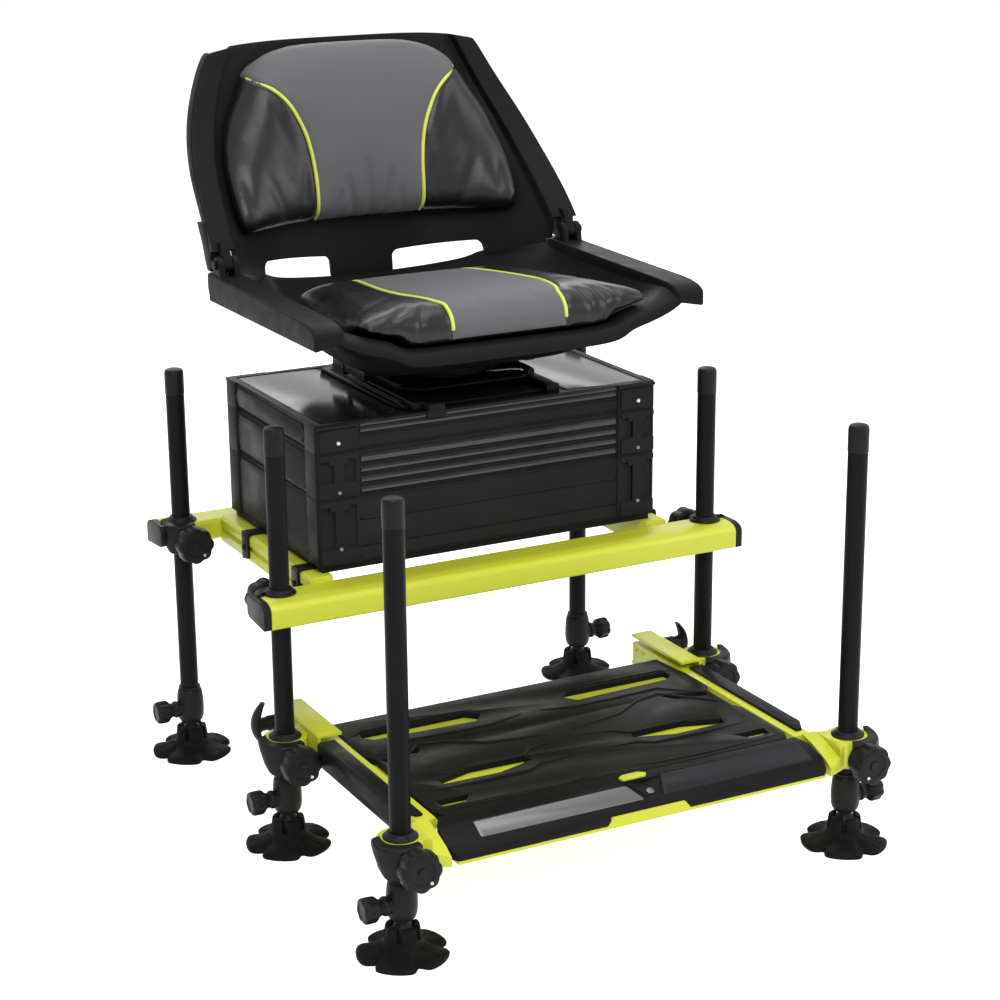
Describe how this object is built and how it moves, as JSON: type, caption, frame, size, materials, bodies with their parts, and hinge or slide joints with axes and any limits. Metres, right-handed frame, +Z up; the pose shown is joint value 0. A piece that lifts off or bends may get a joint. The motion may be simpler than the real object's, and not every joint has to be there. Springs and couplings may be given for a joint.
{
  "type": "fishing seat box",
  "caption": "Fishing seat box with a folding swivel seat on stacked tackle trays, a rail frame on adjustable legs with pivoting feet, and a slide-out footplate.",
  "frame": {"origin": "on the ground, in the middle of the whole outline seen from above", "axes": "+Z up; the sitter faces -Y, so the footplate is at -Y and the seat back at +Y; +X is to the sitter's left, the viewer's right"},
  "size_m": [0.7266, 0.8768, 0.965],
  "materials": {
    "black_aluminium": "satin black anodised tube",
    "black_nylon": "satin glass-filled nylon with fine moulding grain",
    "black_rubber": "matt moulded rubber",
    "lime_aluminium": "satin lime-yellow coated aluminium",
    "deck_plastic": "satin moulded plastic with raised tread lines",
    "box_plastic": "semi-gloss moulded plastic",
    "black_steel": "black powder-coated steel",
    "seat_plastic": "finely grained moulded plastic",
    "leatherette": "soft leatherette with piped seams"
  },
  "bodies": {
    "frame": {"front_rail": "lime_aluminium", "rear_rail": "lime_aluminium", "side_rail_left": "lime_aluminium", "side_rail_right": "lime_aluminium", "frame_clamp_rear_left": "black_nylon", "frame_clamp_rear_right": "black_nylon", "frame_clamp_front_left": "black_nylon", "frame_clamp_front_right": "black_nylon", "deep_tray": "box_plastic"},
    "tray": {"shallow_tray": "box_plastic"},
    "lid": {"lid": "box_plastic", "seat_base": "black_steel"},
    "seat": {"swivel_plate": "black_steel", "seat_pan": "seat_plastic", "seat_cushion": "leatherette"},
    "backrest": {"seat_back": "seat_plastic", "back_cushion": "leatherette"},
    "carrier": {"slide_arm_left": "lime_aluminium", "slide_arm_right": "lime_aluminium", "arm_clamp_left": "black_nylon", "arm_clamp_right": "black_nylon"},
    "footplate": {"footplate_pan": "lime_aluminium", "footplate_deck": "deck_plastic", "footplate_bar": "deck_plastic", "side_channel_left": "deck_plastic", "side_channel_right": "deck_plastic", "corner_bracket_left": "lime_aluminium", "corner_bracket_right": "lime_aluminium", "corner_clamp_left": "black_nylon", "corner_clamp_right": "black_nylon"},
    "leg_rear_left": {"leg_rear_left": "black_aluminium"},
    "leg_rear_right": {"leg_rear_right": "black_aluminium"},
    "leg_front_left": {"leg_front_left": "black_aluminium"},
    "leg_front_right": {"leg_front_right": "black_aluminium"},
    "leg_footplate_left": {"leg_footplate_left": "black_aluminium"},
    "leg_footplate_right": {"leg_footplate_right": "black_aluminium"},
    "foot_rear_left": {"foot_rear_left": "black_rubber"},
    "foot_rear_right": {"foot_rear_right": "black_rubber"},
    "foot_front_left": {"foot_front_left": "black_rubber"},
    "foot_front_right": {"foot_front_right": "black_rubber"},
    "foot_footplate_left": {"foot_footplate_left": "black_rubber"},
    "foot_footplate_right": {"foot_footplate_right": "black_rubber"},
    "frame_knob_rear_left": {"frame_knob_rear_left": "black_nylon"},
    "frame_knob_rear_right": {"frame_knob_rear_right": "black_nylon"},
    "frame_knob_front_left": {"frame_knob_front_left": "black_nylon"},
    "frame_knob_front_right": {"frame_knob_front_right": "black_nylon"},
    "arm_knob_left": {"arm_knob_left": "black_nylon"},
    "arm_knob_right": {"arm_knob_right": "black_nylon"},
    "corner_knob_left": {"corner_knob_left": "black_nylon"},
    "corner_knob_right": {"corner_knob_right": "black_nylon"},
    "slide_lock_knob_left": {"slide_lock_knob_left": "black_nylon"},
    "slide_lock_knob_right": {"slide_lock_knob_right": "black_nylon"},
    "foot_knob_rear_left": {"foot_knob_rear_left": "black_nylon"},
    "foot_knob_rear_right": {"foot_knob_rear_right": "black_nylon"},
    "foot_knob_front_left": {"foot_knob_front_left": "black_nylon"},
    "foot_knob_front_right": {"foot_knob_front_right": "black_nylon"},
    "foot_knob_footplate_left": {"foot_knob_footplate_left": "black_nylon"},
    "foot_knob_footplate_right": {"foot_knob_footplate_right": "black_nylon"}
  },
  "joints": [
    {"name": "tray_lift", "type": "slide", "parent": "frame", "child": "tray", "axis": [0, 0, 1], "range_m": [0, 0.08]},
    {"name": "lid_hinge", "type": "hinge", "parent": "tray", "child": "lid", "pos_m": [0, 0.2939, 0.5002], "axis": [-1, 0, 0], "range_deg": [0, 75]},
    {"name": "seat_swivel", "type": "hinge", "parent": "lid", "child": "seat", "pos_m": [0, 0.1336, 0.551], "axis": [0, 0, 1], "continuous": true},
    {"name": "backrest_fold", "type": "hinge", "parent": "seat", "child": "backrest", "pos_m": [0, 0.2376, 0.699], "axis": [1, 0, 0], "range_deg": [0, 105]},
    {"name": "footplate_height", "type": "slide", "parent": "frame", "child": "carrier", "axis": [0, 0, 1], "range_m": [0, 0.115]},
    {"name": "footplate_slide", "type": "slide", "parent": "carrier", "child": "footplate", "axis": [0, -1, 0], "range_m": [0, 0.08]},
    {"name": "leg_rear_left_slide", "type": "slide", "parent": "frame", "child": "leg_rear_left", "axis": [0, 0, 1], "range_m": [-0.17, 0]},
    {"name": "leg_rear_right_slide", "type": "slide", "parent": "frame", "child": "leg_rear_right", "axis": [0, 0, 1], "range_m": [-0.17, 0]},
    {"name": "leg_front_left_slide", "type": "slide", "parent": "frame", "child": "leg_front_left", "axis": [0, 0, 1], "range_m": [-0.17, 0]},
    {"name": "leg_front_right_slide", "type": "slide", "parent": "frame", "child": "leg_front_right", "axis": [0, 0, 1], "range_m": [-0.17, 0]},
    {"name": "leg_footplate_left_slide", "type": "slide", "parent": "footplate", "child": "leg_footplate_left", "axis": [0, 0, 1], "range_m": [-0.36, 0]},
    {"name": "leg_footplate_right_slide", "type": "slide", "parent": "footplate", "child": "leg_footplate_right", "axis": [0, 0, 1], "range_m": [-0.36, 0]},
    {"name": "foot_rear_left_tilt", "type": "hinge", "parent": "leg_rear_left", "child": "foot_rear_left", "pos_m": [-0.311, 0.3076, 0.03], "axis": [1, 0, 0], "range_deg": [-15, 15]},
    {"name": "foot_rear_right_tilt", "type": "hinge", "parent": "leg_rear_right", "child": "foot_rear_right", "pos_m": [0.311, 0.3076, 0.03], "axis": [1, 0, 0], "range_deg": [-15, 15]},
    {"name": "foot_front_left_tilt", "type": "hinge", "parent": "leg_front_left", "child": "foot_front_left", "pos_m": [-0.311, -0.0404, 0.03], "axis": [1, 0, 0], "range_deg": [-15, 15]},
    {"name": "foot_front_right_tilt", "type": "hinge", "parent": "leg_front_right", "child": "foot_front_right", "pos_m": [0.311, -0.0404, 0.03], "axis": [1, 0, 0], "range_deg": [-15, 15]},
    {"name": "foot_footplate_left_tilt", "type": "hinge", "parent": "leg_footplate_left", "child": "foot_footplate_left", "pos_m": [-0.311, -0.3784, 0.03], "axis": [1, 0, 0], "range_deg": [-15, 15]},
    {"name": "foot_footplate_right_tilt", "type": "hinge", "parent": "leg_footplate_right", "child": "foot_footplate_right", "pos_m": [0.311, -0.3784, 0.03], "axis": [1, 0, 0], "range_deg": [-15, 15]},
    {"name": "frame_knob_rear_left_turn", "type": "hinge", "parent": "frame", "child": "frame_knob_rear_left", "pos_m": [-0.311, 0.3076, 0.31747], "axis": [0, 1, 0], "continuous": true},
    {"name": "frame_knob_rear_right_turn", "type": "hinge", "parent": "frame", "child": "frame_knob_rear_right", "pos_m": [0.311, 0.3076, 0.31747], "axis": [0, 1, 0], "continuous": true},
    {"name": "frame_knob_front_left_turn", "type": "hinge", "parent": "frame", "child": "frame_knob_front_left", "pos_m": [-0.311, -0.0404, 0.31747], "axis": [0, 1, 0], "continuous": true},
    {"name": "frame_knob_front_right_turn", "type": "hinge", "parent": "frame", "child": "frame_knob_front_right", "pos_m": [0.311, -0.0404, 0.31747], "axis": [0, 1, 0], "continuous": true},
    {"name": "arm_knob_left_turn", "type": "hinge", "parent": "carrier", "child": "arm_knob_left", "pos_m": [-0.311, -0.0404, 0.12648], "axis": [0, 1, 0], "continuous": true},
    {"name": "arm_knob_right_turn", "type": "hinge", "parent": "carrier", "child": "arm_knob_right", "pos_m": [0.311, -0.0404, 0.12648], "axis": [0, 1, 0], "continuous": true},
    {"name": "corner_knob_left_turn", "type": "hinge", "parent": "footplate", "child": "corner_knob_left", "pos_m": [-0.311, -0.3784, 0.12648], "axis": [0, 1, 0], "continuous": true},
    {"name": "corner_knob_right_turn", "type": "hinge", "parent": "footplate", "child": "corner_knob_right", "pos_m": [0.311, -0.3784, 0.12648], "axis": [0, 1, 0], "continuous": true},
    {"name": "slide_lock_knob_left_turn", "type": "hinge", "parent": "carrier", "child": "slide_lock_knob_left", "pos_m": [-0.3, 0.0286, 0.14], "axis": [1, 0, 0], "continuous": true},
    {"name": "slide_lock_knob_right_turn", "type": "hinge", "parent": "carrier", "child": "slide_lock_knob_right", "pos_m": [0.3, 0.0286, 0.14], "axis": [1, 0, 0], "continuous": true},
    {"name": "foot_knob_rear_left_turn", "type": "hinge", "parent": "leg_rear_left", "child": "foot_knob_rear_left", "pos_m": [-0.311, 0.3076, 0.066], "axis": [1, 0, 0], "continuous": true},
    {"name": "foot_knob_rear_right_turn", "type": "hinge", "parent": "leg_rear_right", "child": "foot_knob_rear_right", "pos_m": [0.311, 0.3076, 0.066], "axis": [1, 0, 0], "continuous": true},
    {"name": "foot_knob_front_left_turn", "type": "hinge", "parent": "leg_front_left", "child": "foot_knob_front_left", "pos_m": [-0.311, -0.0404, 0.066], "axis": [1, 0, 0], "continuous": true},
    {"name": "foot_knob_front_right_turn", "type": "hinge", "parent": "leg_front_right", "child": "foot_knob_front_right", "pos_m": [0.311, -0.0404, 0.066], "axis": [1, 0, 0], "continuous": true},
    {"name": "foot_knob_footplate_left_turn", "type": "hinge", "parent": "leg_footplate_left", "child": "foot_knob_footplate_left", "pos_m": [-0.311, -0.3784, 0.066], "axis": [1, 0, 0], "continuous": true},
    {"name": "foot_knob_footplate_right_turn", "type": "hinge", "parent": "leg_footplate_right", "child": "foot_knob_footplate_right", "pos_m": [0.311, -0.3784, 0.066], "axis": [1, 0, 0], "continuous": true}
  ]
}
